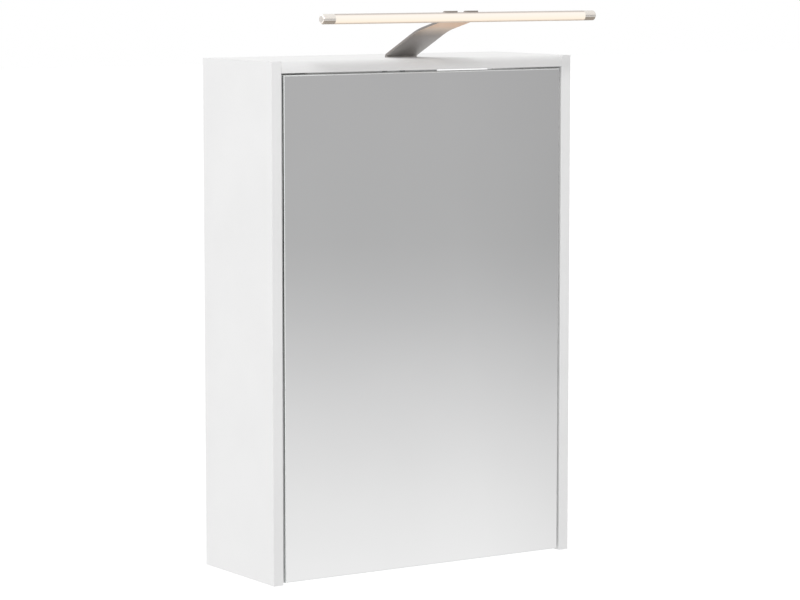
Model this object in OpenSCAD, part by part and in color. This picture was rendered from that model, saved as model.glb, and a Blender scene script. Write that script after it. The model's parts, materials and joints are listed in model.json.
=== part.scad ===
// Wall cabinet for a bathroom, with one mirror door set between its sides and a lamp bar over it.
// X runs across the front, Y from the front (negative) to the wall (0), Z up from the lower edges
// of the side panels. The origin is on the wall, below the middle of the cabinet.

/* [Cabinet] */
// Width over the side panels
cab_w = 500; // [400:1:600]
// Height of the side panels
cab_h = 720; // [600:1:800]
// Depth from the wall to the front
cab_d = 187; // [170:1:230]
// Thickness of the white boards
board_t = 16; // [15:0.5:19]
// Radius of the rounded upper front edge of the top panel
top_edge_r = 11; // [2:0.5:13]
// Radius of every other board edge that shows
ease_r = 1; // [0.5:0.25:2]
// Finger room under the bottom panel, above the side panels' lower edges
grip_h = 20; // [14:1:40]
// Distance from the door's back to the bottom panel
grip_d = 12; // [12:1:30]

/* [Back panel] */
// Thickness of the back panel
back_t = 3; // [2.5:0.5:5]
// Distance from the wall to the back panel
back_inset = 12; // [8:1:20]
// Depth of the grooves that hold it
groove_d = 6; // [4:0.5:8]
// Play of the back panel in its grooves
back_play = 0.1; // [0.05:0.05:0.4]
// Width of the cut-outs in its top corners
notch_w = 100; // [60:1:140]
// Height of those cut-outs
notch_h = 62; // [50:1:90]

/* [Door] */
// Gap between the door and each side panel
side_gap = 3; // [2.5:0.25:5]
// Gap between the door and the top panel
top_gap = 2.5; // [2:0.25:6]
// Height of the door's lower edge
door_low = 2.5; // [1:0.5:8]
// Thickness of the door board
door_t = 16; // [15:0.5:19]
// Thickness of the mirror glass
mirror_t = 4; // [3:0.5:5]
// Distance from the board's edge to the glass's edge
mirror_inset = 0.5; // [0.25:0.25:2]
// Width of the ground edge round the glass
mirror_bevel = 1; // [0.5:0.25:2]

/* [Hinges] */
// How far the door opens, in degrees
door_open = 95; // [80:1:96]
// Height of each hinge from the door's nearer end
hinge_from_end = 96; // [80:1:160]
// Outer diameter of the hinge cup
cup_d = 35; // [35:0.5:38]
// Board left between the cup and the door's edge
cup_edge = 5; // [4:0.5:7]
// Distance from the cup's centre to the hinge pin, towards the door's edge
pin_offset = 4.5; // [3.5:0.5:5.5]
// Distance from the mirror's face back to the hinge pin
pin_depth = 11; // [10.5:0.25:12]
// Diameter of the hinge pin
pin_d = 3; // [2.5:0.25:3.5]
// Wall of the pressed hinge parts
press_t = 0.8; // [0.6:0.1:1]
// Thickness of the hooked hinge arm
arm_t = 2.5; // [2:0.25:3]
// Width of the hinge arm
arm_w = 12; // [10:0.5:14]
// Least gap between the arm's hook and the turning door
swing_gap = 1; // [0.8:0.1:2]
// Distance between the two screws of a mounting plate
plate_pitch = 32; // [28:1:40]
// Distance between the two screws of a cup
cup_screw_pitch = 48; // [44:1:54]

/* [Fittings] */
// Diameter of the wood dowels
dowel_d = 8; // [6:0.5:9]
// Length of the wood dowels
dowel_l = 30; // [24:1:36]
// Diameter of the cam locks
cam_d = 15; // [12:0.5:16]
// Distance from a panel's end to the cam lock's centre
cam_reach = 34; // [24:1:36]
// Thickness of the glass shelves
shelf_t = 5; // [4:0.5:8]
// Distance from the front to the shelves
shelf_setback = 47; // [44:1:70]
// Diameter of the shelf pins
shelf_pin_d = 5; // [4:0.5:6]
// Spacing of the spare shelf pin holes
pin_pitch = 32; // [24:1:40]
// Width of each magnetic catch
catch_w = 44; // [34:1:60]
// Height of each magnetic catch
catch_h = 13; // [11:0.5:16]

/* [Hangers] */
// Thickness of a hanger's housing
hanger_t = 12; // [10:0.5:16]
// Height of a hanger's housing
hanger_h = 34; // [30:1:38]
// Thickness of the hanger's steel hook
hook_t = 3; // [2:0.25:4]
// Width of the slot that drops over the wall rail
rail_slot = 5; // [3:0.25:6]

/* [Lamp] */
// Length of the lamp bar over its end caps
bar_l = 450; // [300:1:560]
// Diameter of the lamp bar
bar_d = 14; // [12:0.5:20]
// Height of the bar's centre above the top panel
bar_rise = 58.7; // [50:0.1:70]
// Distance from the cabinet's front to the bar's centre
bar_reach = 87.7; // [80:0.1:100]
// Length of each polished end cap
cap_l = 19; // [12:0.5:30]
// Width of the light opening along the front, in degrees round the bar
light_angle = 100; // [70:1:130]
// Wall of the bar's housing
bar_wall = 1.2; // [1:0.1:1.6]
// Width of the steel strip that carries the lamp
strip_w = 52; // [40:1:60]
// Thickness of the strip
strip_t = 3; // [2:0.25:4]
// Distance from the front to the slot in the top panel that the strip comes up through
strip_set = 63.2; // [60:0.1:75]
// Slope of the strip's lower leg, in degrees
strip_slope = 24.5; // [22:0.1:26]
// Distance from the front to the corner where the strip's two legs would meet
knee_reach = 18; // [10:0.5:30]
// Radius of the bend between the legs
knee_bend = 150; // [60:5:200]
// Length of the strip's foot, which is screwed to the top panel from below
foot_l = 34; // [30:1:50]
// Width of each clip that holds the bar
clip_w = 20; // [15:0.5:28]
// Gap between the two clips
clip_gap = 14; // [6:0.5:20]
// Thickness of the clips
clip_t = 1.8; // [1.2:0.1:2.5]

/* [Hidden] */
$fn = 48;

white = "#f4f4f3";
steel = "#b9bab8";
nickel = "#c9c8c4";
dark = "#5c5856";
e = 0.01;
fit = 0.05;
seat = 0.3;

inner_w = cab_w - 2 * board_t;
inner_x = inner_w / 2;
floor_z = grip_h + board_t;
ceil_z = cab_h - board_t;
bottom_d = cab_d - door_t - mirror_t - grip_d;
groove_w = back_t + 2 * back_play;
groove_room = 0.5;
back_bite = groove_d - groove_room;

door_w = inner_w - 2 * side_gap;
door_top = ceil_z - top_gap;
door_h = door_top - door_low;
door_back = -cab_d + mirror_t + door_t;

// The hinge pin stands inside the cup, near its rim on the door's edge side.
cup_r = cup_d / 2;
pin_in = side_gap + cup_edge + cup_r - pin_offset;
pin_x = inner_x - pin_in;
pin_y = -cab_d + pin_depth;
hinge_zs = [door_low + hinge_from_end, door_top - hinge_from_end];
knuckle_wall = 1.7;
knuckle_r = pin_d / 2 + knuckle_wall;
board_up = mirror_t + door_t - pin_depth;
knuckle_gap = 0.2;
cup_floor = knuckle_r + knuckle_gap;
cup_deep = board_up + cup_floor + press_t;
flange_t = 1;
flange_over = 2;
flange_r = cup_r + flange_over;
ear_gap = 0.3;
ear_z = arm_w / 2 + ear_gap;
ear_t = 1.6;
cup_screw_in = 6;
cup_screw_x = pin_offset + cup_screw_in;

// The hook clears every corner of the door's hinge edge, which turns round the pin.
edge_x = pin_in - side_gap;
corner_back = norm([edge_x, board_up]);
corner_front = norm([edge_x - mirror_inset, pin_depth - mirror_bevel]);
hook_r = max(corner_back, corner_front) + swing_gap + arm_t / 2;
near_rim = 180 - atan2(board_up + flange_t, edge_x - cup_edge - press_t) - door_open;
far_rim = atan2(board_up + flange_t, cup_r + pin_offset - press_t);
hook_lean = (near_rim + far_rim) / 2 - 2;
hook_bend = 5;
tail_in = 9.75;
tail_x = -pin_in + tail_in;
tail_end = 74;
arm_steps = 8;
arm_flange_h = 3.4;
arm_flange_w = 1.6;
arm_flange_y = hook_r + hook_bend + 6;

plate_base_t = 3;
plate_set = 24;
plate_y = hook_r + plate_set;
rib_gap = 0.2;
rib_play = 0.3;
rib_top = tail_x - arm_t / 2 - rib_gap;
rib_w = arm_w - 2 * arm_flange_w - 2 * rib_play;

joint_dowels = [0.3, 0.72];
joint_cams = [0.18, 0.86];
cam_h = 12.5;
bolt_d = 6;
bolt_head_d = 7;

shelf_back_gap = 5;
shelf_side_gap = 2;
shelf_d = cab_d - shelf_setback - back_inset - back_t - shelf_back_gap;
shelf_w = inner_w - 2 * shelf_side_gap;
shelf_zs = [floor_z + (ceil_z - floor_z) / 3, floor_z + (ceil_z - floor_z) * 2 / 3];
shelf_pin_set = 22;
shelf_pin_ys = [-cab_d + shelf_setback + shelf_pin_set,
                -back_inset - back_t - shelf_back_gap - shelf_pin_set];
pin_hole_deep = 10;
pin_tongue_t = 2.5;

hanger_lift = 4;
hanger_z = ceil_z - notch_h + hanger_lift;
hanger_l = 52;
hanger_gap = 1;
hanger_y = -back_inset - hanger_gap;
hanger_screw_in = 12;

catch_d = 22;
catch_in = 40;
catch_x = -inner_x + catch_in;
catch_tab_l = 12;
strike_t = 1.2;

bar_r = bar_d / 2;
bar_z = cab_h + bar_rise;
bar_y = -cab_d - bar_reach;
clip_r = bar_r + fit + clip_t;
clip_low = -48;
clip_high = 100;
slot_y = -cab_d + strip_set;
slot_play = 0.3;
foot_bend = strip_t * 1.5;
bend_steps = 8;
strip_end = -27;
lens_t = 1.4;
pcb_w = 8;
pcb_t = 1;
pcb_short = 5;
web_y = 1;
foot_screw_in = 11;

grommet_d = 10;
grommet_rim = 2;
grommet_rim_t = 1.2;
grommet_x = 20;
grommet_y = slot_y + foot_l + grommet_d;

// The driver stands to the left of the grommet, so it keeps clear of it in a shallow cabinet too
driver_most_l = 150;
driver_end_room = 50;
driver_l = min(driver_most_l, inner_x - driver_end_room);
driver_d = 40;
driver_h = 22;
driver_gap = 5;
driver_x = grommet_x - grommet_d / 2 - grommet_rim - driver_gap;
driver_back_gap = 9;
driver_y = -back_inset - back_t - driver_back_gap - driver_d;
driver_tab_l = 12;
lead_d = 6.4;
lead_l = 14;
lead_z = ceil_z - driver_h * 0.6;

// Screws: shanks, their length in the board, the holes they leave there, and their tabs
slim_d = 3;
wood_d = 3.5;
short_d = 4;
euro_d = 5;
bite = 10;
hole_deep = bite + 1;
tab_t = 3;

// Shared shapes

// A bar of length l along X, from the middle outwards
module along_x(l) {
    rotate([90, 0, 90])
        translate([0, 0, -l / 2])
            linear_extrude(l)
                children();
}

// A board's section: x is its depth from the front (0) to d, y its thickness, with eased front edges
module board_section(d, t, upper_r, lower_r) {
    translate([max(upper_r, lower_r), 0])
        square([d - max(upper_r, lower_r), t]);
    translate([0, lower_r])
        square([max(upper_r, lower_r), t - upper_r - lower_r]);
    translate([upper_r, t - upper_r])
        intersection() {
            circle(upper_r);
            translate([-upper_r, 0])
                square([upper_r, upper_r]);
        }
    translate([lower_r, lower_r])
        intersection() {
            circle(lower_r);
            translate([-lower_r, -lower_r])
                square([lower_r, lower_r]);
        }
    if (upper_r > lower_r)
        translate([lower_r, 0])
            square([upper_r - lower_r, t - upper_r]);
    if (lower_r > upper_r)
        translate([upper_r, lower_r])
            square([lower_r - upper_r, t - lower_r]);
}

// A hole or pin along X, starting at x = 0
module rod_x(d, l) {
    rotate([0, 90, 0])
        cylinder(d = d, h = l);
}

// A hole or pin along Y, starting at y = 0 and running towards the wall
module rod_y(d, l) {
    rotate([-90, 0, 0])
        cylinder(d = d, h = l);
}

// Pan head screw along +Z: the head's underside is at z = 0 and the shank runs down
module pan_screw(d, l, head_d) {
    head_h = head_d * 0.3;
    translate([0, 0, -l])
        cylinder(d = d, h = l);
    difference() {
        cylinder(d = head_d, h = head_h);
        for (turn = [0, 90])
            rotate(turn)
                translate([-head_d * 0.3, -head_d * 0.06, head_h * 0.45])
                    cube([head_d * 0.6, head_d * 0.12, head_h]);
    }
}

// Both ends of the panel whose underside is at z, for what joins it to the sides.
// The children stand on the side panel's inner face and point along +X into the panel.
module panel_ends(z) {
    for (side = [0, 1])
        mirror([side, 0, 0])
            translate([-inner_x, 0, z + board_t / 2])
                children();
}

function joint_y(share, d) = -back_inset - back_t - groove_d - share * (d - back_inset - back_t - groove_d);

// The frame of one hinge: x from the pin to the middle of the cabinet, y from the pin to the wall
module at_hinges() {
    for (z = hinge_zs)
        translate([pin_x, pin_y, z])
            mirror([1, 0, 0])
                children();
}

// Holes that join a panel to both sides, cut into the panel
module joint_holes_panel(z, d) {
    panel_ends(z)
        for (share = joint_dowels)
            translate([-e, joint_y(share, d), 0])
                rod_x(dowel_d + 2 * fit, dowel_l - board_t * 0.7 + 1);
    panel_ends(z)
        for (share = joint_cams)
            translate([-e, joint_y(share, d), 0]) {
                rod_x(bolt_head_d + 1, cam_reach);
                translate([cam_reach, 0, -board_t / 2 - e])
                    cylinder(d = cam_d + 2 * fit, h = cam_h + 2 * e);
            }
}

// Holes that join one side panel to the panel at z, cut into the side
module joint_holes_side(z, d) {
    for (share = joint_dowels)
        translate([-inner_x - board_t * 0.7 - 0.5, joint_y(share, d), z + board_t / 2])
            rod_x(dowel_d + 2 * fit, board_t);
    for (share = joint_cams)
        translate([-inner_x - board_t * 0.7, joint_y(share, d), z + board_t / 2])
            rod_x(bolt_d - 1 + 2 * fit, board_t);
}

// Left side panel; the right one is its mirror image, with the hinge holes
module side_panel(with_hinges) {
    difference() {
        translate([-cab_w / 2, -cab_d, 0])
            linear_extrude(cab_h)
                side_outline();
        translate([-inner_x - groove_d, -back_inset - back_t - back_play, -e])
            cube([groove_d + e, groove_w, cab_h - board_t + groove_d]);
        joint_holes_side(ceil_z, cab_d);
        joint_holes_side(grip_h, bottom_d);
        for (z = shelf_zs, y = shelf_pin_ys, step = [-1, 0, 1])
            translate([-inner_x - pin_hole_deep, y, z - pin_tongue_t / 2 + step * pin_pitch])
                rod_x(shelf_pin_d + 2 * fit, pin_hole_deep + e);
        for (y = hanger_screw_ys())
            translate([-inner_x - hole_deep, y, hanger_z + hanger_h / 2])
                rod_x(wood_d + 2 * fit, hole_deep + e);
        if (with_hinges)
            for (z = hinge_zs, step = [-0.5, 0.5])
                translate([-inner_x - hole_deep, pin_y + plate_y, z + step * plate_pitch])
                    rod_x(euro_d + 2 * fit, hole_deep + e);
    }
}

// The side panel's plan: a board whose two front edges are eased
module side_outline() {
    translate([board_t, 0])
        rotate(90)
            board_section(cab_d, board_t, ease_r, ease_r);
}

module left_side_panel() {
    color(white)
        side_panel(false);
}

module right_side_panel() {
    color(white)
        mirror([1, 0, 0])
            side_panel(true);
}

// Section of the top or bottom panel, from its front edge to the wall, with the back panel's groove
module grooved_section(d, upper_r, lower_r, groove_up) {
    difference() {
        translate([-d, 0])
            board_section(d, board_t, upper_r, lower_r);
        translate([-back_inset - back_t - back_play, groove_up ? -e : board_t - groove_d])
            square([groove_w, groove_d + e]);
    }
}

// Slot for the lamp strip, wider below where the strip bends into its foot
module strip_slot() {
    l = strip_w + 2 * slot_play;
    translate([-l / 2, slot_y - strip_t / 2 - slot_play, ceil_z - e])
        cube([l, strip_t + 2 * slot_play, board_t + 2 * e]);
    translate([-l / 2, slot_y, ceil_z - e])
        cube([l, foot_bend + slot_play, foot_bend - strip_t / 2 + slot_play]);
}

module top_panel() {
    color(white)
        difference() {
            translate([0, 0, ceil_z])
                along_x(inner_w)
                    grooved_section(cab_d, top_edge_r, ease_r, true);
            joint_holes_panel(ceil_z, cab_d);
            strip_slot();
            for (x = foot_screw_xs())
                translate([x, foot_screw_y(), ceil_z - e])
                    cylinder(d = short_d + 2 * fit, h = hole_deep);
            translate([grommet_x, grommet_y, ceil_z - e])
                cylinder(d = grommet_d + 2 * fit, h = board_t + 2 * e);
            translate([grommet_x, grommet_y, cab_h - grommet_rim_t])
                cylinder(d = grommet_d + 2 * grommet_rim + 2 * fit, h = board_t);
            for (x = driver_screw_xs())
                translate([x, driver_y + driver_d / 2, ceil_z - e])
                    cylinder(d = slim_d + 2 * fit, h = hole_deep);
            for (x = catch_screw_xs())
                translate([x, catch_screw_y(), ceil_z - e])
                    cylinder(d = slim_d + 2 * fit, h = hole_deep);
        }
}

module bottom_panel() {
    color(white)
        difference() {
            translate([0, 0, grip_h])
                along_x(inner_w)
                    grooved_section(bottom_d, ease_r, ease_r, false);
            joint_holes_panel(grip_h, bottom_d);
            for (x = catch_screw_xs())
                translate([x, catch_screw_y(), floor_z - hole_deep])
                    cylinder(d = slim_d + 2 * fit, h = hole_deep + e);
        }
}

// Back panel in its grooves, with a cut-out in each top corner
module back_panel() {
    low = floor_z - back_bite;
    high = ceil_z + back_bite;
    half = inner_x + back_bite;
    notch_x = inner_x - notch_w;
    notch_z = ceil_z - notch_h;
    corner = 4;
    color(white)
        translate([0, -back_inset, 0])
            rotate([90, 0, 0])
                linear_extrude(back_t)
                    difference() {
                        translate([-half, low])
                            square([2 * half, high - low]);
                        for (side = [0, 1])
                            mirror([side, 0]) {
                                translate([notch_x + corner, notch_z])
                                    square([notch_w + back_bite, high]);
                                translate([notch_x, notch_z + corner])
                                    square([notch_w + back_bite, high]);
                                translate([notch_x + corner, notch_z + corner])
                                    circle(corner);
                            }
                    }
}

// Wood dowels, two in each of the four corner joints
module wood_dowels() {
    chamfer = 1;
    color("#c9a36a")
        for (joint = [[ceil_z, cab_d], [grip_h, bottom_d]])
            panel_ends(joint[0])
                for (share = joint_dowels)
                    translate([-board_t * 0.7, joint_y(share, joint[1]), 0])
                        rotate([0, 90, 0])
                            rotate_extrude()
                                polygon([[0, 0], [dowel_d / 2 - chamfer, 0], [dowel_d / 2, chamfer],
                                         [dowel_d / 2, dowel_l - chamfer],
                                         [dowel_d / 2 - chamfer, dowel_l], [0, dowel_l]]);
}

// Cam bolts: threaded end in the side panel, collar on its face, waist and head in the panel
module cam_bolts() {
    collar_t = 2;
    head_l = 3;
    waist_l = 4;
    waist_d = bolt_d - 2.5;
    reach = cam_reach - 1;
    color(steel)
        for (joint = [[ceil_z, cab_d], [grip_h, bottom_d]])
            panel_ends(joint[0])
                for (share = joint_cams)
                    translate([0, joint_y(share, joint[1]), 0]) {
                        translate([-board_t * 0.65, 0, 0])
                            rod_x(bolt_d - 1, board_t * 0.65 + e);
                        rod_x(bolt_head_d, collar_t);
                        rod_x(bolt_d, reach - head_l - waist_l);
                        rod_x(waist_d, reach);
                        translate([reach - head_l, 0, 0])
                            rod_x(bolt_d, head_l);
                    }
}

// Cam locks: a drum with a cross slot below and a channel that takes the bolt's head
module cam_locks() {
    slot_l = 8;
    slot_w = 1.6;
    slot_deep = 2.5;
    color(steel)
        for (joint = [[ceil_z, cab_d], [grip_h, bottom_d]])
            panel_ends(joint[0])
                for (share = joint_cams)
                    translate([cam_reach, joint_y(share, joint[1]), -board_t / 2])
                        difference() {
                            cylinder(d = cam_d, h = cam_h);
                            translate([-cam_d, 0, board_t / 2])
                                rod_x(bolt_head_d + 0.5, cam_d + 1);
                            for (turn = [0, 90])
                                rotate(turn)
                                    translate([-slot_l / 2, -slot_w / 2, -e])
                                        cube([slot_l, slot_w, slot_deep]);
                        }
}

// Glass shelf with ground edges
module glass_shelf(z) {
    grind = 1;
    color("#d5e6e1", 0.6)
        translate([-shelf_w / 2, -cab_d + shelf_setback, z])
            difference() {
                cube([shelf_w, shelf_d, shelf_t]);
                for (up = [0, 1])
                    translate([-e, 0, up * shelf_t])
                        rotate([45, 0, 0])
                            translate([0, -grind / 2, -grind / 2])
                                cube([shelf_w + 2 * e, grind, grind]);
            }
}

module upper_glass_shelf() {
    glass_shelf(shelf_zs[1]);
}

module lower_glass_shelf() {
    glass_shelf(shelf_zs[0]);
}

// Shelf pins: peg in the side panel, collar on its face, flat tongue under the glass
module shelf_pins() {
    tongue_l = 9;
    collar_t = 1.5;
    collar_d = shelf_pin_d + 3;
    color(nickel)
        for (side = [0, 1], z = shelf_zs, y = shelf_pin_ys)
            mirror([side, 0, 0])
                translate([-inner_x, y, z - pin_tongue_t / 2]) {
                    translate([1 - pin_hole_deep, 0, 0])
                        rod_x(shelf_pin_d, pin_hole_deep - 1 + e);
                    intersection() {
                        rod_x(collar_d, collar_t);
                        translate([0, -shelf_pin_d, -shelf_pin_d])
                            cube([collar_t, 2 * shelf_pin_d, shelf_pin_d + pin_tongue_t / 2]);
                    }
                    translate([collar_t - e, 0, 0])
                        intersection() {
                            rod_x(collar_d, tongue_l);
                            translate([0, -shelf_pin_d, -pin_tongue_t / 2])
                                cube([tongue_l, 2 * shelf_pin_d, pin_tongue_t]);
                        }
                }
}

function hanger_screw_ys() = [hanger_y - hanger_screw_in, hanger_y - hanger_l + hanger_screw_in];

// Hanger housings on the side panels, in the back panel's cut-outs
module hanger_housings() {
    color(nickel)
        for (side = [0, 1])
            mirror([side, 0, 0])
                translate([-inner_x, hanger_y, hanger_z])
                    difference() {
                        translate([0, -hanger_l, 0])
                            hanger_shell();
                        translate([hanger_t / 2 - hook_t / 2 - seat, -hanger_l * 0.75, hanger_h * 0.3])
                            cube([hook_t + 2 * seat, hanger_l, hanger_h * 0.6]);
                        for (y = hanger_screw_ys())
                            translate([-e, y - hanger_y, hanger_h / 2]) {
                                rod_x(wood_d + 2 * fit, hanger_t + 1);
                            }
                    }
}

// A box whose front end is rounded off, as a pressed housing is
module hanger_shell() {
    r = 6;
    rotate([90, 0, 90])
        linear_extrude(hanger_t) {
            translate([r, 0])
                square([hanger_l - r, hanger_h]);
            translate([0, r])
                square([r, hanger_h - 2 * r]);
            for (z = [r, hanger_h - r])
                translate([r, z])
                    circle(r);
        }
}

// Hooks: a steel tongue that leaves the housing and drops over the wall rail
module hanger_hooks() {
    tongue_h = hanger_h * 0.5;
    wall_gap = 1;
    lip = 3;
    slot_h = tongue_h * 0.65;
    color(steel)
        for (side = [0, 1])
            mirror([side, 0, 0])
                translate([-inner_x + hanger_t / 2 - hook_t / 2, 0, hanger_z + hanger_h * 0.35])
                    rotate([90, 0, 90])
                        linear_extrude(hook_t)
                            difference() {
                                translate([hanger_y - hanger_l * 0.7, 0])
                                    square([hanger_l * 0.7 - hanger_y - wall_gap, tongue_h]);
                                translate([-wall_gap - lip - rail_slot, -e])
                                    square([rail_slot, slot_h + e]);
                                for (y = hanger_screw_ys())
                                    translate([y, hanger_h * 0.15])
                                        circle(d = wood_d + 1.5);
                            }
}

module hanger_screws() {
    color(steel)
        for (side = [0, 1], y = hanger_screw_ys())
            mirror([side, 0, 0])
                translate([-inner_x + hanger_t, y, hanger_z + hanger_h / 2])
                    rotate([0, 90, 0])
                        pan_screw(wood_d, hanger_t + bite, 2 * wood_d);
}

// Door board with the cups' bores in its back
module door_board() {
    color(white)
        difference() {
            translate([-door_w / 2, -cab_d + mirror_t, door_low])
                cube([door_w, door_t, door_h]);
            at_hinges() {
                translate([pin_offset, -cup_floor - press_t, 0])
                    rod_y(cup_d + 2 * fit, cup_deep + 1);
                for (step = [-0.5, 0.5])
                    translate([cup_screw_x, board_up - hole_deep, step * cup_screw_pitch])
                        rod_y(wood_d + 2 * fit, hole_deep + 1);
            }
            for (z = strike_zs())
                translate([catch_x, door_back - hole_deep, z])
                    rod_y(slim_d + 2 * fit, hole_deep + 1);
        }
}

// Mirror glass over the whole front of the board, with a ground edge all round
module mirror_glass() {
    w = door_w - 2 * mirror_inset;
    h = door_h - 2 * mirror_inset;
    color("#c3c7c9")
        translate([0, -cab_d, door_low + door_h / 2])
            difference() {
                translate([-w / 2, 0, -h / 2])
                    cube([w, mirror_t, h]);
                for (side = [-1, 1])
                    translate([side * w / 2, 0, 0])
                        rotate(45)
                            cube([mirror_bevel * sqrt(2), mirror_bevel * sqrt(2), h + 2], center = true);
                for (side = [-1, 1])
                    translate([0, 0, side * h / 2])
                        rotate([45, 0, 0])
                            cube([w + 2, mirror_bevel * sqrt(2), mirror_bevel * sqrt(2)], center = true);
            }
}

// Hinge cups: flange on the door's back, thin cup in its bore, two ears that hold the pin
module hinge_cups() {
    color(nickel)
        at_hinges() {
            difference() {
                union() {
                    translate([0, board_up, 0])
                        rotate([-90, 0, 0])
                            linear_extrude(flange_t)
                                cup_flange();
                    translate([pin_offset, -cup_floor - press_t, 0])
                        rod_y(cup_d, cup_deep + e);
                }
                translate([pin_offset, -cup_floor, 0])
                    rod_y(cup_d - 2 * press_t, cup_deep + 2);
                for (step = [-0.5, 0.5])
                    translate([cup_screw_x, board_up - 1, step * cup_screw_pitch])
                        rod_y(wood_d + 2 * fit, flange_t + 2);
            }
            for (side = [0, 1])
                mirror([0, 0, side])
                    translate([0, 0, ear_z])
                        difference() {
                            union() {
                                cylinder(r = knuckle_r, h = ear_t);
                                translate([-knuckle_r, -cup_floor - e, 0])
                                    cube([2 * knuckle_r, cup_floor + e, ear_t]);
                            }
                            translate([0, 0, -1])
                                cylinder(d = pin_d + fit, h = ear_t + 2);
                        }
        }
}

// Flange plan: a disc with a bar across it that carries the two screws (y is across the height)
module cup_flange() {
    ear_r = 5.5;
    translate([pin_offset, 0])
        circle(flange_r);
    translate([cup_screw_x - ear_r, -cup_screw_pitch / 2])
        square([2 * ear_r, cup_screw_pitch]);
    for (step = [-0.5, 0.5])
        translate([cup_screw_x, step * cup_screw_pitch])
            circle(ear_r);
}

module hinge_pins() {
    color(steel)
        at_hinges()
            cylinder(d = pin_d, h = 2 * (ear_z + ear_t), center = true);
}

module cup_screws() {
    color(steel)
        at_hinges()
            for (step = [-0.5, 0.5])
                translate([cup_screw_x, board_up + flange_t, step * cup_screw_pitch])
                    rotate([-90, 0, 0])
                        pan_screw(wood_d, flange_t + bite, 2 * wood_d);
}

// Edge of the hooked strip at distance s to the left of its middle line. The line leaves the pin
// at hook_lean, turns left into a circle round the pin, runs straight to the side panel and turns
// right along the mounting plate.
function arm_edge(s) =
    let (inner = hook_r - hook_bend,
         tip = asin(hook_bend / inner),
         c1 = inner * [cos(hook_lean + tip), sin(hook_lean + tip)],
         c2 = [tail_x + hook_bend, hook_r + hook_bend])
    concat(
        [s * [-sin(hook_lean), cos(hook_lean)]],
        [for (i = [0:arm_steps])
            let (a = hook_lean - 90 + (90 + tip) * i / arm_steps)
            c1 + (hook_bend - s) * [cos(a), sin(a)]],
        [for (i = [1:arm_steps])
            let (a = hook_lean + tip + (90 - hook_lean - tip) * i / arm_steps)
            (hook_r - s) * [cos(a), sin(a)]],
        [for (i = [0:arm_steps])
            let (a = 270 - 90 * i / arm_steps)
            c2 + (hook_bend + s) * [cos(a), sin(a)]],
        [[tail_x - s, tail_end]]);

function reversed(list) = [for (i = [len(list) - 1:-1:0]) list[i]];

// Hinge arms: knuckle on the pin, hook round the door's edge, tail over the mounting plate
module hinge_arms() {
    lock_step = 15;
    lock_d = 4;
    color(nickel)
        at_hinges()
            difference() {
                union() {
                    translate([0, 0, -arm_w / 2])
                        linear_extrude(arm_w)
                            polygon(concat(arm_edge(-arm_t / 2), reversed(arm_edge(arm_t / 2))));
                    cylinder(r = knuckle_r, h = arm_w, center = true);
                    for (side = [0, 1])
                        mirror([0, 0, side])
                            translate([tail_x - arm_t / 2 - arm_flange_h, arm_flange_y,
                                       arm_w / 2 - arm_flange_w])
                                cube([arm_flange_h + e, tail_end - arm_flange_y, arm_flange_w]);
                }
                cylinder(d = pin_d + 2 * fit, h = arm_w + 2, center = true);
                translate([tail_x - arm_t, plate_y, 0])
                    arm_slot();
                translate([tail_x - arm_t, plate_y + lock_step, 0])
                    rod_x(lock_d, 2 * arm_t);
            }
}

// Slot for the arm's fixing screw, long in the direction of its adjustment
module arm_slot() {
    half = 3;
    w = short_d + 0.4;
    for (step = [-1, 1])
        translate([0, step * half, 0])
            rod_x(w, 2 * arm_t);
    translate([0, -half, -w / 2])
        cube([2 * arm_t, 2 * half, w]);
}

// Mounting plates: base with two screw wings and a rib that the arm sits over
module mounting_plates() {
    wing_w = 14;
    wing_r = wing_w / 2;
    base_l = 40;
    rib_l = tail_end - hook_r - hook_bend - 8;
    color(nickel)
        at_hinges()
            difference() {
                translate([-pin_in, plate_y, 0])
                    union() {
                        rotate([90, 0, 90])
                            linear_extrude(plate_base_t) {
                                translate([-wing_r, -plate_pitch / 2])
                                    square([wing_w, plate_pitch]);
                                for (step = [-0.5, 0.5])
                                    translate([0, step * plate_pitch])
                                        circle(wing_r);
                                translate([-base_l / 2, -arm_w / 2])
                                    square([base_l, arm_w]);
                            }
                        translate([plate_base_t - e, -rib_l / 2, -rib_w / 2])
                            cube([rib_top + pin_in - plate_base_t + e, rib_l, rib_w]);
                    }
                for (step = [-0.5, 0.5])
                    translate([-pin_in - 1, plate_y, step * plate_pitch])
                        rod_x(euro_d + 2 * fit, plate_base_t + 2);
                translate([-pin_in + plate_base_t / 3, plate_y, 0])
                    rod_x(short_d + 2 * fit, pin_in);
            }
}

module plate_screws() {
    color(steel)
        at_hinges()
            for (step = [-0.5, 0.5])
                translate([-pin_in + plate_base_t, plate_y, step * plate_pitch])
                    rotate([0, 90, 0])
                        pan_screw(euro_d, plate_base_t + bite, 1.6 * euro_d);
}

module arm_screws() {
    color(steel)
        at_hinges()
            translate([tail_x + arm_t / 2, plate_y, 0])
                rotate([0, 90, 0])
                    pan_screw(short_d, arm_t + rib_gap + rib_top + pin_in - plate_base_t / 2, 2 * short_d);
}

function strike_zs() = [floor_z + catch_h / 2, ceil_z - catch_h / 2];
function catch_face() = door_back + strike_t + seat;
function catch_screw_xs() = [catch_x - (catch_w - catch_tab_l) / 2, catch_x + (catch_w - catch_tab_l) / 2];
function catch_screw_y() = door_back + grip_d + catch_tab_l / 2;

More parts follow.
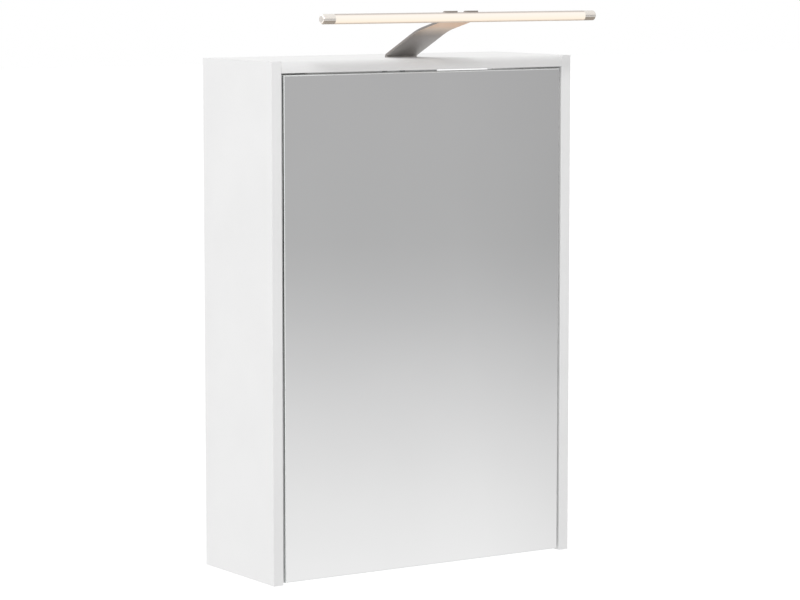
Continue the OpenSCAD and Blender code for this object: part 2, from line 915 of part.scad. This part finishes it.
// Magnetic catches on the bottom panel and under the top panel
module magnetic_catches() {
    pole_w = 26;
    pole_t = 1.5;
    pole_z = 2.5;
    color(white)
        for (up = [0, 1])
            translate([catch_x, catch_face(), up * ceil_z + (1 - up) * floor_z])
                mirror([0, 0, up])
                    difference() {
                        union() {
                            translate([-catch_w / 2 + catch_tab_l, 0, 0])
                                cube([catch_w - 2 * catch_tab_l, catch_d, catch_h]);
                            translate([-catch_w / 2, grip_d - strike_t - seat, 0])
                                cube([catch_w, catch_d - grip_d + strike_t + seat, tab_t]);
                        }
                        for (step = [-1, 1])
                            translate([-pole_w / 2, -e, catch_h / 2 + step * pole_z - pole_t / 2])
                                cube([pole_w, 1, pole_t]);
                        for (x = catch_screw_xs())
                            translate([x - catch_x, catch_screw_y() - catch_face(), -e])
                                cylinder(d = slim_d + 2 * fit, h = catch_h);
                    }
}

module catch_screws() {
    color(steel)
        for (up = [0, 1], x = catch_screw_xs())
            translate([x, catch_screw_y(), up * ceil_z + (1 - up) * floor_z])
                mirror([0, 0, up])
                    translate([0, 0, tab_t])
                        pan_screw(slim_d, tab_t + bite, 2 * slim_d);
}

// Strike plates on the door's back, facing the catches
module strike_plates() {
    strike_w = 24;
    strike_in = 1.5;
    r = catch_h / 2 - strike_in;
    color(steel)
        for (z = strike_zs())
            translate([catch_x, door_back, z])
                rotate([-90, 0, 0])
                    linear_extrude(strike_t)
                        difference() {
                            union() {
                                square([strike_w - 2 * r, 2 * r], center = true);
                                for (side = [-1, 1])
                                    translate([side * (strike_w / 2 - r), 0])
                                        circle(r);
                            }
                            circle(d = slim_d + 2 * fit);
                        }
}

// Flush screws through the strike plates
module strike_screws() {
    color(steel)
        for (z = strike_zs())
            translate([catch_x, door_back - bite, z])
                rod_y(slim_d, bite + strike_t);
}

function foot_screw_xs() = [foot_screw_in - strip_w / 2, strip_w / 2 - foot_screw_in];
function foot_screw_y() = slot_y + (foot_l + foot_bend) / 2;

// Edge of the lamp strip at distance s from its middle line, towards the wall and up, in Y and Z.
// From the back of the foot it runs forward under the top panel, bends up through the slot, bends
// forward above the panel to the slope strip_slope, turns on knee_bend at the corner where its legs
// would meet, and heads straight for the bar's clips.
function strip_edge(s) =
    let (a = strip_slope,
         low = ceil_z - strip_t / 2,
         c0 = [slot_y + foot_bend, low + foot_bend],
         c1 = [slot_y - foot_bend, cab_h],
         leg0 = c1 + foot_bend * [sin(a), cos(a)],
         knee = leg0 + (leg0[0] + cab_d + knee_reach) * [-1, tan(a)],
         end = [bar_y, bar_z] + clip_r * [cos(strip_end), sin(strip_end)],
         b = atan2(end[1] - knee[1], knee[0] - end[0]),
         cut = knee_bend * tan((a - b) / 2),
         c2 = knee + cut * [cos(a), -sin(a)] - knee_bend * [sin(a), cos(a)])
    concat(
        [[slot_y + foot_l, low + s]],
        [for (i = [0:bend_steps])
            let (turn = 90 * i / bend_steps)
            c0 - (foot_bend - s) * [sin(turn), cos(turn)]],
        [for (i = [0:bend_steps])
            let (turn = (90 - a) * i / bend_steps)
            c1 + (foot_bend + s) * [cos(turn), sin(turn)]],
        [for (i = [0:bend_steps])
            let (turn = a + (b - a) * i / bend_steps)
            c2 + (knee_bend + s) * [sin(turn), cos(turn)]],
        [end + s * [sin(b), cos(b)] + clip_t * [-cos(b), sin(b)]]);

// Lamp arm: a bent steel strip, cut round to meet the clips at its front end
module lamp_arm() {
    color(steel)
        difference() {
            along_x(strip_w)
                polygon(concat(strip_edge(-strip_t / 2), reversed(strip_edge(strip_t / 2))));
            translate([-strip_w, bar_y, bar_z])
                rod_x(2 * clip_r, 2 * strip_w);
            for (x = foot_screw_xs())
                translate([x, foot_screw_y(), ceil_z - strip_t - 1])
                    cylinder(d = short_d + 2 * fit, h = strip_t + 2);
        }
}

module foot_screws() {
    color(steel)
        for (x = foot_screw_xs())
            translate([x, foot_screw_y(), ceil_z - strip_t])
                mirror([0, 0, 1])
                    pan_screw(short_d, strip_t + bite, 2 * short_d);
}

// A pie slice from angle a0 to a1, of radius r, as an outline round the origin
module pie(r, a0, a1) {
    steps = 12;
    polygon(concat([[0, 0]],
                   [for (i = [0:steps])
                       let (a = a0 + (a1 - a0) * i / steps)
                       r * [cos(a), sin(a)]]));
}

// Bar clips: spring rings open at the front, behind and over the lamp bar
module bar_clips() {
    color(dark)
        for (side = [-1, 1])
            translate([side * (clip_gap + clip_w) / 2, bar_y, bar_z])
                along_x(clip_w)
                    intersection() {
                        difference() {
                            circle(clip_r);
                            circle(bar_r + fit);
                        }
                        pie(2 * clip_r, clip_low, clip_high);
                    }
}

// Bar housing: a tube open along its front, with a flat web that carries the light strip
module bar_housing() {
    color("#cfc9c4")
        translate([0, bar_y, bar_z])
            along_x(bar_l - 2 * cap_l)
                union() {
                    difference() {
                        circle(bar_r);
                        circle(bar_r - bar_wall);
                        pie(2 * bar_r, 180 - light_angle / 2, 180 + light_angle / 2);
                    }
                    intersection() {
                        circle(bar_r - bar_wall / 2);
                        translate([web_y, -bar_r])
                            square([bar_wall, bar_d]);
                    }
                }
}

// Circuit board with a row of light chips, on the housing's web
module led_strip() {
    chip = 3;
    chip_t = 0.8;
    pitch = 20;
    strip_l = bar_l - 2 * cap_l - 2 * pcb_short;
    count = floor(strip_l / pitch);
    color("#f2e3b8")
        translate([0, bar_y + web_y - pcb_t, bar_z]) {
            translate([-strip_l / 2, 0, -pcb_w / 2])
                cube([strip_l, pcb_t, pcb_w]);
            for (i = [0:count - 1])
                translate([(i - (count - 1) / 2) * pitch - chip / 2, -chip_t, -chip / 2])
                    cube([chip, chip_t + e, chip]);
        }
}

// Diffuser: a curved lens that closes the housing's front
module light_diffuser() {
    half_angle = light_angle / 2 - 0.5;
    color("#fff1df")
        translate([0, bar_y, bar_z])
            along_x(bar_l - 2 * cap_l)
                difference() {
                    intersection() {
                        circle(bar_r);
                        pie(2 * bar_r, 180 - half_angle, 180 + half_angle);
                    }
                    circle(bar_r - lens_t);
                }
}

// End cap: a turned cap with a domed end, for the bar's right end
module end_cap() {
    dome = 2.5;
    color(nickel)
        translate([bar_l / 2 - cap_l, bar_y, bar_z])
            rotate([0, 90, 0])
                rotate_extrude() {
                    square([bar_r, cap_l - dome]);
                    square([bar_r - dome, cap_l]);
                    translate([bar_r - dome, cap_l - dome])
                        intersection() {
                            circle(dome);
                            square(dome);
                        }
                }
}

module left_end_cap() {
    mirror([1, 0, 0])
        end_cap();
}

module right_end_cap() {
    end_cap();
}

function driver_screw_xs() = [driver_x - driver_tab_l / 2, driver_x - driver_l + driver_tab_l / 2];

// Lamp driver under the top panel: a closed box with a screw tab at each end. It runs from
// driver_x to the left, and the mains lead goes in at its left end.
module led_driver() {
    vent_w = 1.6;
    lead_wall = 2;
    color(white)
        translate([driver_x - driver_l, driver_y, ceil_z])
            difference() {
                union() {
                    translate([driver_tab_l, 0, -driver_h])
                        cube([driver_l - 2 * driver_tab_l, driver_d, driver_h]);
                    translate([0, driver_d / 4, -tab_t])
                        cube([driver_l, driver_d / 2, tab_t]);
                    translate([driver_tab_l - lead_l / 2, driver_d / 2, lead_z - ceil_z])
                        rod_x(lead_d + 2 * lead_wall, lead_l / 2 + e);
                }
                translate([driver_tab_l - lead_l / 2 - 1, driver_d / 2, lead_z - ceil_z])
                    rod_x(lead_d, lead_l + 1);
                for (x = driver_screw_xs())
                    translate([x - driver_x + driver_l, driver_d / 2, -tab_t - 1])
                        cylinder(d = slim_d + 2 * fit, h = tab_t + 2);
                for (i = [-3:3])
                    translate([driver_l / 2 + (4 * i - 0.5) * vent_w, driver_d / 4, -driver_h - 1])
                        cube([vent_w, driver_d / 2, 2]);
            }
}

module driver_screws() {
    color(steel)
        for (x = driver_screw_xs())
            translate([x, driver_y + driver_d / 2, ceil_z - tab_t])
                mirror([0, 0, 1])
                    pan_screw(slim_d, tab_t + bite, 2 * slim_d);
}

// Grommet in the top panel for the lamp's lead, its rim flush with the top
module cable_grommet() {
    wall = 2;
    color("#d8d8d6")
        translate([grommet_x, grommet_y, 0])
            difference() {
                union() {
                    translate([0, 0, ceil_z])
                        cylinder(d = grommet_d, h = board_t);
                    translate([0, 0, cab_h - grommet_rim_t])
                        cylinder(d = grommet_d + 2 * grommet_rim, h = grommet_rim_t);
                }
                translate([0, 0, ceil_z - 1])
                    cylinder(d = grommet_d - 2 * wall, h = board_t + 2);
            }
}

left_side_panel();
right_side_panel();
top_panel();
bottom_panel();
back_panel();
wood_dowels();
cam_bolts();
cam_locks();
upper_glass_shelf();
lower_glass_shelf();
shelf_pins();
hanger_housings();
hanger_hooks();
hanger_screws();
door_board();
mirror_glass();
hinge_cups();
hinge_pins();
cup_screws();
hinge_arms();
mounting_plates();
plate_screws();
arm_screws();
magnetic_catches();
catch_screws();
strike_plates();
strike_screws();
lamp_arm();
foot_screws();
bar_clips();
bar_housing();
led_strip();
light_diffuser();
left_end_cap();
right_end_cap();
led_driver();
driver_screws();
cable_grommet();
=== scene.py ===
"""Dresses the mirror cabinet's solids, lights them, and looks at them as the photograph does.

Lengths are metres. X runs across the front, Y towards the wall and Z up, from a point on the wall
below the middle of the cabinet. Every surface gets a material worked out from its own place on the
piece.
"""

import json
import math

import bpy
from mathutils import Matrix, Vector


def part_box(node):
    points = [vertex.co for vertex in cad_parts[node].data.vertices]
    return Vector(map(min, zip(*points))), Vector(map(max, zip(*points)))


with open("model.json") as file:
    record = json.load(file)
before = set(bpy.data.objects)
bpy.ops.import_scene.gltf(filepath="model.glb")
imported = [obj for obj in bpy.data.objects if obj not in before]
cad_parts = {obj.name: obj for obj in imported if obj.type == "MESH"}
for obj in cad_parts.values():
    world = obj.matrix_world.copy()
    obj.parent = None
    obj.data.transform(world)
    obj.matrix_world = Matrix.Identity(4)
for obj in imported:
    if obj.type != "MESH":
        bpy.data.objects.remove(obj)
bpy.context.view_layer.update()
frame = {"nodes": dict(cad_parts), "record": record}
nodes = frame["nodes"]

# Heights that the materials follow, read from the solids. The lamp bar is as thick as its caps.
CABINET_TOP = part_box("left_side_panel")[1].z
CAP_BOTTOM, CAP_TOP = (corner.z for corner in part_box("left_end_cap"))
BAR_Z = (CAP_BOTTOM + CAP_TOP) / 2
BAR_R = (CAP_TOP - CAP_BOTTOM) / 2
OPENING_HALF = 0.78 * BAR_R
# Height on the mirror below which its left narrow side is painted paler, as painted light from
# below.
GLASS_PAINTED_PALING_FROM = 0.53 * CABINET_TOP
# Height where the painted warm glow on the lamp arm is strongest.
ARM_PAINTED_GLOW_AT = CABINET_TOP + 0.06

# The colour sockets of a Mix node, by number, because its sockets share their names.
SHARE, FIRST, SECOND, MIXED = 0, 6, 7, 2

# The camera, fitted to the cabinet's corners in the photograph.
PHOTO_WIDTH_PX = 800
FOCAL_LENGTH_PX = 3123.3
SENSOR_MM = 36.0
CAMERA_PLACE = (-2.4128, -3.818, 0.8728)
CAMERA_LOOKS_DOWN = math.radians(6.431)
CAMERA_LOOKS_RIGHT = math.radians(33.134)

FLOOR_HALF = 40.0
FLOOR_Z = -1.0
FLOOR_GLOW = 0.35


def linear(r, g, b):
    """A colour given in 0 to 255 as it is seen, turned into the light value that shaders use."""
    def one(c):
        c /= 255
        return c / 12.92 if c <= 0.04045 else ((c + 0.055) / 1.055) ** 2.4
    return (one(r), one(g), one(b), 1.0)


def grey(level):
    """A grey of the given light value, as a colour."""
    return (level, level, level, 1.0)


class Tree:
    """A node tree under construction, with short ways to add nodes."""

    def __init__(self, tree):
        self.tree = tree

    def give(self, socket, value):
        """Links an output to a socket, or sets the socket to a constant."""
        if isinstance(value, bpy.types.NodeSocket):
            self.tree.links.new(value, socket)
        else:
            socket.default_value = value

    def add(self, kind, inputs=None, **settings):
        """A new node, with its properties set by name and its inputs by number or name."""
        made = self.tree.nodes.new(kind)
        for key, value in settings.items():
            setattr(made, key, value)
        for key, value in (inputs or {}).items():
            self.give(made.inputs[key], value)
        return made

    def calculate(self, operation, *values):
        """The result of a sum, product or other operation on one or two numbers."""
        return self.add("ShaderNodeMath", dict(enumerate(values)), operation=operation).outputs[0]

    def vector(self, operation, inputs):
        """The outputs of an operation on vectors or colours."""
        return self.add("ShaderNodeVectorMath", inputs, operation=operation).outputs

    def axes(self, vector):
        """A vector's parts along X, Y and Z."""
        return self.add("ShaderNodeSeparateXYZ", {0: vector}).outputs

    def share(self, value, start, end):
        """0 where value is start, 1 where it is end, and even between them."""
        return self.add("ShaderNodeMapRange", {
            "Value": value, "From Min": start, "From Max": end}).outputs[0]

    def spread(self, value, low, high):
        """A grey value in 0 to 1 moved to the range low to high."""
        return self.add("ShaderNodeMapRange", {
            "Value": value, "To Min": low, "To Max": high}).outputs[0]

    def ramp(self, value, *stops):
        """A ramp over value: each stop is a position and a colour, or a grey as one number."""
        made = self.add("ShaderNodeValToRGB", {"Fac": value})
        bar = made.color_ramp
        while len(bar.elements) < len(stops):
            bar.elements.new(0.5)
        for element, (position, colour) in zip(bar.elements, stops):
            element.position = position
            element.color = colour if hasattr(colour, "__len__") else grey(colour)
        return made.outputs["Color"]

    def blend(self, share, first, second):
        """A mix of two colours by a share from 0 to 1."""
        return self.add("ShaderNodeMix", {SHARE: share, FIRST: first, SECOND: second},
                        data_type="RGBA").outputs[MIXED]


class Finish(Tree):
    """A material under construction, with its main shader and the point and normal on the piece."""

    def __init__(self, name, **constants):
        self.material = bpy.data.materials.new(name)
        self.material.use_nodes = True
        super().__init__(self.material.node_tree)
        self.shader = self.tree.nodes["Principled BSDF"]
        for socket, value in constants.items():
            self.shader.inputs[socket.replace("_", " ")].default_value = value

    def place(self, stretch=(1, 1, 1)):
        """The point on the piece in metres, scaled along each axis."""
        where = self.add("ShaderNodeTexCoord").outputs["Object"]
        return self.add("ShaderNodeMapping", {"Vector": where, "Scale": stretch}).outputs[0]

    def rise(self, start, end):
        """0 at the height start on the piece, 1 at the height end, and even between them."""
        return self.share(self.axes(self.place())["Z"], start, end)

    def turned(self, axis):
        """How the surface is turned: 1 along the axis, -1 against it and 0 across it."""
        return self.axes(self.add("ShaderNodeNewGeometry").outputs["True Normal"])[axis]

    def squarely(self, axis):
        """How squarely the surface looks along the axis, either way: 1 fully and 0 across it."""
        return self.calculate("ABSOLUTE", self.turned(axis))

    def noise(self, scale, detail=3.0, stretch=(1, 1, 1), rough=0.5):
        """Noise from 0 to 1 whose grains are about 1/scale metres wide before stretching."""
        return self.add("ShaderNodeTexNoise", {
            "Vector": self.place(stretch), "Scale": scale, "Detail": detail,
            "Roughness": rough}).outputs["Fac"]

    def feed(self, **sockets):
        """Links outputs to the main shader's inputs by name."""
        for socket, value in sockets.items():
            self.tree.links.new(value, self.shader.inputs[socket.replace("_", " ")])

    def bump(self, height, depth):
        """Relief of the given depth in metres, from a height in 0 to 1."""
        relief = self.add("ShaderNodeBump", {"Height": height, "Distance": depth})
        self.feed(Normal=relief.outputs[0])


def white_foil():
    """Smooth white foil on board: near-whites in wide soft patches, and a fine orange-peel skin."""
    f = Finish("white_foil", IOR=1.46)
    patches = f.noise(9, detail=2)
    f.feed(Base_Color=f.ramp(patches, (0.3, linear(240, 240, 240)), (0.7, linear(243, 243, 243))),
           Roughness=f.spread(f.noise(140), 0.45, 0.56))
    f.bump(f.noise(1100, detail=2), depth=0.00003)
    return f.material


def silvered_mirror():
    """Silvered glass. The face reflects, and the ground edge round it shines pale and matt, as the
    narrow sides do. Only the left narrow side shows the glass's dark green, deepened there as
    painted shade for the gap beside it, and over the lower half it is painted paler as painted
    light from below."""
    f = Finish("silvered_mirror")
    # face is 1 on the flat front and back, side on the narrow sides and left on the left one.
    face = f.ramp(f.squarely("Y"), (0.93, 0.0), (0.97, 1.0))
    side = f.ramp(f.squarely("Y"), (0.2, 1.0), (0.4, 0.0))
    left = f.share(f.turned("X"), -0.7, -0.9)
    haze = f.noise(3.5, detail=4)
    silver = f.ramp(haze, (0.35, linear(247, 247, 247)), (0.65, linear(250, 250, 250)))
    grain = f.noise(220)
    cut = f.ramp(grain, (0.3, linear(238, 241, 240)), (0.7, linear(245, 248, 247)))
    # The glass's dark green, shown only on the left narrow side and deepened there as painted shade
    # for the gap beside it.
    green = f.ramp(grain, (0.3, linear(11, 15, 14)), (0.7, linear(16, 21, 19)))
    pale = f.ramp(grain, (0.3, linear(172, 177, 175)), (0.7, linear(180, 185, 183)))
    # Left narrow side: dark green above, painted paler towards the bottom as painted light bouncing
    # up from below.
    narrow = f.blend(left, cut, f.blend(f.rise(GLASS_PAINTED_PALING_FROM, 0.0), green, pale))
    f.feed(Base_Color=f.blend(side, f.blend(face, cut, silver), narrow),
           Metallic=face,
           Specular_IOR_Level=f.spread(side, 0.5, 0.05),
           Roughness=f.blend(face, grey(0.3), f.spread(haze, 0.0, 0.012)))
    return f.material


def brushed_steel():
    """Steel strip brushed along its length: long thin streaks in colour, gloss and relief. Its
    colour
    by height is painted light and shade: the lamp's warm light is painted on, fading from the bar
    down to the knee, over a painted darker band lower down, and the narrow sides are painted darker
    as painted shade."""
    f = Finish("brushed_steel_strip", Metallic=0.65, Anisotropic=0.4)
    streaks = f.noise(900, detail=4, stretch=(1, 0.02, 0.05), rough=0.6)
    # Painted light and shade by height on the arm: lighter near the cabinet top, a painted darker
    # band midway, and the lamp's warm glow painted on near the bar.
    painted_glow_and_shade = f.ramp(f.rise(CABINET_TOP, ARM_PAINTED_GLOW_AT),
                  (0.0, (0.6, 0.58, 0.565, 1)), (0.14, (0.505, 0.488, 0.473, 1)),
                  (0.24, (0.47, 0.452, 0.438, 1)), (0.43, (0.436, 0.412, 0.402, 1)),
                  (0.52, (0.4, 0.367, 0.345, 1)), (0.62, (0.56, 0.473, 0.405, 1)),
                  (0.69, (0.731, 0.581, 0.457, 1)), (0.76, (0.92, 0.629, 0.428, 1)),
                  (1.0, (0.95, 0.66, 0.45, 1)))
    brushed = f.vector("MULTIPLY", {0: painted_glow_and_shade, 1: f.ramp(streaks, (0.3, 0.95), (0.7, 1.05))})[0]
    # The narrow sides' darker colour is painted shade.
    cut = f.ramp(streaks, (0.3, (0.275, 0.255, 0.24, 1)), (0.7, (0.305, 0.283, 0.268, 1)))
    side = f.ramp(f.squarely("X"), (0.7, 0.0), (0.9, 1.0))
    f.feed(Base_Color=f.blend(side, brushed, cut),
           Roughness=f.spread(streaks, 0.3, 0.42))
    f.bump(streaks, depth=0.00002)
    return f.material


def plated(name, dark, light, roughness):
    """Plated pressed steel: faint clouds in colour and gloss, and a fine grain."""
    f = Finish(name, Metallic=1.0)
    clouds = f.noise(90, detail=4)
    f.feed(Base_Color=f.ramp(clouds, (0.3, dark), (0.7, light)),
           Roughness=f.spread(clouds, roughness - 0.05, roughness + 0.07))
    f.bump(f.noise(2600, detail=2), depth=0.00001)
    return f.material


def polished_cap():
    """Polished metal with the faint turning rings of a lathe round the bar's axis."""
    f = Finish("polished_cap", Metallic=1.0)
    rings = f.noise(2500, detail=2, stretch=(1, 0.02, 0.02))
    f.feed(Base_Color=f.ramp(rings, (0.3, linear(240, 234, 227)), (0.7, linear(246, 241, 235))),
           Roughness=f.spread(rings, 0.17, 0.24))
    f.bump(rings, depth=0.000004)
    return f.material


def up_the_bar(f):
    """Height on the lamp bar: 0 at the lower edge of its light opening and 1 at the upper edge."""
    return f.rise(BAR_Z - OPENING_HALF, BAR_Z + OPENING_HALF)


def satin_aluminium():
    """Anodised aluminium drawn along the bar. It is painted peach below, a painted glow where the
    lamp's light spills over it."""
    f = Finish("satin_aluminium", Metallic=0.3)
    draw = f.noise(1500, detail=3, stretch=(0.01, 1, 1))
    above = f.ramp(draw, (0.3, linear(202, 192, 185)), (0.7, linear(210, 201, 194)))
    # Painted light: the lamp's warm glow painted onto the bar's lower side.
    below = f.ramp(draw, (0.3, linear(246, 229, 212)), (0.7, linear(251, 236, 220)))
    f.feed(Base_Color=f.blend(f.ramp(up_the_bar(f), (0.0, 0.0), (1.0, 1.0)), below, above),
           Roughness=f.spread(draw, 0.3, 0.42))
    f.bump(draw, depth=0.00001)
    return f.material


def lit_diffuser():
    """Milky lens lit from inside: nearly white, peach along its lower edge and dimmer along the
    upper one."""
    f = Finish("lit_diffuser", Roughness=0.45, Base_Color=grey(0.02),
               Emission_Strength=1.0, Specular_IOR_Level=0.1)
    f.feed(Emission_Color=f.ramp(
        up_the_bar(f), (0.0, linear(246, 229, 210)), (0.2, linear(255, 242, 224)),
        (0.5, linear(252, 244, 231)), (0.84, linear(255, 246, 236)), (1.0, linear(236, 226, 216))))
    f.bump(f.noise(1800, detail=2), depth=0.00002)
    return f.material


def moulded(name, dark, light, roughness=0.45):
    """Moulded plastic: an even colour with a fine spark-eroded grain."""
    f = Finish(name)
    f.feed(Base_Color=f.ramp(f.noise(60, detail=2), (0.3, dark), (0.7, light)),
           Roughness=f.spread(f.noise(400), roughness - 0.05, roughness + 0.05))
    f.bump(f.noise(2200, detail=2), depth=0.00004)
    return f.material


def dark_lacquer():
    """Dark grey lacquered spring steel, slightly pitted."""
    f = Finish("dark_lacquer", Metallic=0.3)
    pits = f.noise(700, detail=4)
    f.feed(Base_Color=f.ramp(pits, (0.3, linear(152, 145, 139)), (0.7, linear(166, 159, 153))),
           Roughness=f.spread(pits, 0.4, 0.55))
    f.bump(pits, depth=0.00003)
    return f.material


def shelf_glass():
    """Clear float glass whose ground edges show green and matt."""
    f = Finish("shelf_glass", Transmission_Weight=1.0, IOR=1.5)
    edge = f.ramp(f.squarely("Z"), (0.9, 1.0), (0.98, 0.0))
    f.feed(Base_Color=f.blend(edge, linear(250, 253, 252), linear(176, 214, 201)),
           Roughness=f.blend(edge, f.spread(f.noise(20), 0.0, 0.02), grey(0.35)))
    return f.material


def beech():
    """Plain beech with short grain along the dowel."""
    f = Finish("beech")
    grain = f.noise(700, detail=4, stretch=(0.08, 1, 1))
    f.feed(Base_Color=f.ramp(grain, (0.3, linear(196, 158, 112)), (0.7, linear(219, 185, 141))),
           Roughness=f.spread(grain, 0.6, 0.75))
    f.bump(grain, depth=0.00005)
    return f.material


finishes = {
    "white_board": white_foil(),
    "mirror_glass": silvered_mirror(),
    "brushed_steel": brushed_steel(),
    "nickel_plate": plated("nickel_plate", linear(205, 203, 198), linear(219, 217, 212), 0.24),
    "zinc_steel": plated("zinc_plate", linear(188, 190, 192), linear(206, 208, 209), 0.34),
    "polished_cap": polished_cap(),
    "bar_aluminium": satin_aluminium(),
    "diffuser": lit_diffuser(),
    "white_plastic": moulded("white_plastic", linear(235, 235, 233), linear(240, 240, 238)),
    "grey_plastic": moulded("grey_plastic", linear(214, 214, 212), linear(222, 222, 220)),
    "dark_clip": dark_lacquer(),
    "shelf_glass": shelf_glass(),
    "dowel_wood": beech(),
    "led_board": moulded("led_board", linear(246, 240, 214), linear(252, 247, 226), 0.4),
}

for subpart in frame["record"]["subparts"]:
    piece = nodes[subpart["node"]]
    piece.data.materials.clear()
    piece.data.materials.append(finishes[subpart["material_slot"]])


def studio_floor():
    """A wide pale floor a metre below the cabinet. To the camera it adds a little white of its own,
    so that it runs into the white background and keeps the cabinet's shadow."""
    mesh = bpy.data.meshes.new("studio_floor")
    mesh.from_pydata([(-FLOOR_HALF, -FLOOR_HALF, FLOOR_Z), (FLOOR_HALF, -FLOOR_HALF, FLOOR_Z),
                      (FLOOR_HALF, FLOOR_HALF, FLOOR_Z), (-FLOOR_HALF, FLOOR_HALF, FLOOR_Z)],
                     [], [(0, 1, 2, 3)])
    floor = bpy.data.objects.new("studio_floor", mesh)
    bpy.context.scene.collection.objects.link(floor)
    f = Finish("pale_floor", Roughness=0.9, Emission_Color=grey(1.0))
    seen = f.add("ShaderNodeLightPath").outputs["Is Camera Ray"]
    pale = f.ramp(f.noise(2), (0.3, linear(236, 236, 236)), (0.7, linear(240, 240, 240)))
    f.feed(Base_Color=pale, Emission_Strength=f.spread(seen, 0.0, FLOOR_GLOW))
    mesh.materials.append(f.material)
    floor.visible_glossy = False


def glossy_room(tree, way):
    """What glossy surfaces see, by the direction way. Its height, from -1 straight down to 1
    straight up, picks a colour: warm below, white, grey round the horizon, and white again above.
    It is dimmer on the far right and brighter on the left behind the cabinet."""
    stops = ((-1.0, (0.5, 0.46, 0.42, 1)), (-0.6, (0.36, 0.32, 0.28, 1)),
             (-0.32, 0.84), (-0.22, 0.92), (-0.199, 0.92), (-0.175, 0.844),
             (-0.145, (0.72, 0.72, 0.722, 1)), (-0.114, (0.552, 0.553, 0.556, 1)),
             (-0.096, (0.482, 0.483, 0.485, 1)), (-0.083, (0.467, 0.468, 0.47, 1)),
             (0.0, (0.46, 0.456, 0.46, 1)), (0.12, (0.8, 0.79, 0.78, 1)),
             (0.3, (0.98, 0.97, 0.95, 1)), (1.0, 1.0))
    along = tree.axes(way)
    room = tree.ramp(tree.share(along["Z"], -1.0, 1.0),
                     *(((height + 1) / 2, colour) for height, colour in stops))
    right = tree.spread(tree.share(along["X"], 0.56, 0.6), 0.966, 0.85)
    behind = tree.vector("DOT_PRODUCT", {0: way, 1: (-1.0, 1.0, 0.0)})["Value"]
    left = tree.spread(tree.share(behind, 0.4, 1.0), 1.0, 1.7)
    return tree.vector("SCALE", {0: room, "Scale": tree.calculate("MULTIPLY", right, left)})[0]


def studio_world():
    """The room as light. Cameras see white, through glass too. Diffuse surfaces get soft light that
    is strongest from the wall's side: the dot product of its direction and a slant, plus a level.
    Glossy surfaces see the glossy room."""
    slant, level = (0.0, 0.43, -0.25), 1.02
    world = bpy.data.worlds.new("studio")
    bpy.context.scene.world = world
    world.use_nodes = True
    tree = Tree(world.node_tree)
    way = tree.add("ShaderNodeTexCoord").outputs["Generated"]
    ray = tree.add("ShaderNodeLightPath").outputs
    leaning = tree.vector("DOT_PRODUCT", {0: way, 1: slant})["Value"]
    soft = tree.calculate("ADD", leaning, level)
    light = tree.blend(ray["Is Glossy Ray"], soft, glossy_room(tree, way))
    straight = tree.calculate("MAXIMUM", ray["Is Camera Ray"], ray["Is Transmission Ray"])
    tree.give(world.node_tree.nodes["Background"].inputs["Color"],
              tree.blend(straight, light, grey(1.0)))


def soft_strip(name, place, aim, length, width, watts):
    """A white area lamp with its face towards aim."""
    data = bpy.data.lights.new(name, "AREA")
    data.shape = "RECTANGLE"
    data.size, data.size_y, data.energy = length, width, watts
    lamp = bpy.data.objects.new(name, data)
    lamp.location = place
    lamp.rotation_mode = "QUATERNION"
    lamp.rotation_quaternion = (Vector(aim) - Vector(place)).to_track_quat("-Z", "Y")
    bpy.context.scene.collection.objects.link(lamp)
    return lamp


def photo_camera():
    """The camera as it stood for the photograph."""
    data = bpy.data.cameras.new("photo_camera")
    data.sensor_fit = "HORIZONTAL"
    data.sensor_width = SENSOR_MM
    data.lens = FOCAL_LENGTH_PX * SENSOR_MM / PHOTO_WIDTH_PX
    data.clip_start, data.clip_end = 0.1, 200.0
    camera = bpy.data.objects.new("photo_camera", data)
    camera.location = CAMERA_PLACE
    camera.rotation_mode = "XYZ"
    camera.rotation_euler = (math.radians(90) - CAMERA_LOOKS_DOWN, 0.0, -CAMERA_LOOKS_RIGHT)
    bpy.context.scene.collection.objects.link(camera)
    bpy.context.scene.camera = camera


photo_camera()
studio_floor()
studio_world()
soft_strip("key_strip", place=(-1.712, -2.632, 2.723), aim=(0.0, -0.187, 0.71),
           length=1.3, width=0.28, watts=34.0)
fill = soft_strip("cabinet_fill", place=(0.0, -0.158, 0.37), aim=(0.0, 0.0, 0.37),
                  length=0.4, width=0.6, watts=0.25)
fill.visible_camera = fill.visible_glossy = False

bpy.context.scene.view_settings.view_transform = "Standard"
